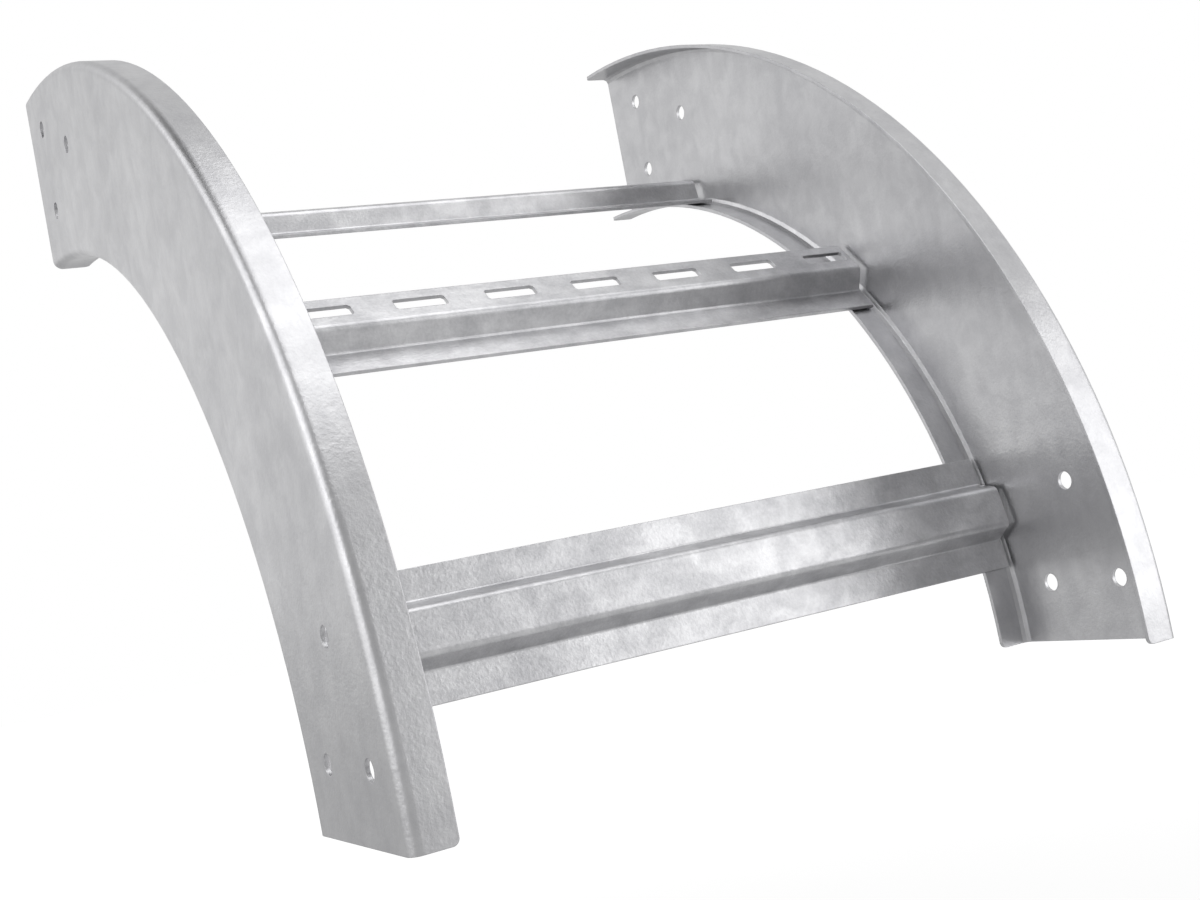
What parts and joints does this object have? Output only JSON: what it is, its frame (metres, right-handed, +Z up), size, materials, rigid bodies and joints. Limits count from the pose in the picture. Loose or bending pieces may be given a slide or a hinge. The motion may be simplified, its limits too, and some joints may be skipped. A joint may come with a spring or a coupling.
{
  "type": "cable ladder bend",
  "caption": "Outside riser bend for cable ladder: curved channel side rails joined by folded sheet rungs, two of them slotted.",
  "frame": {"origin": "middle of the lower end plane, between the rails and at half their height", "axes": "+X from the left rail to the right one, +Z up along the run at the lower end, +Y out along the run at the upper end"},
  "size_m": [0.39, 0.4, 0.4],
  "materials": {
    "rail_steel": "hot-dip galvanised, satin and softly mottled",
    "rung_steel": "hot-dip galvanised, satin and softly mottled"
  },
  "bodies": {
    "root": {"side_rail_left": "rail_steel", "side_rail_right": "rail_steel", "rung_lower": "rung_steel", "rung_middle": "rung_steel", "rung_upper": "rung_steel"}
  },
  "joints": []
}
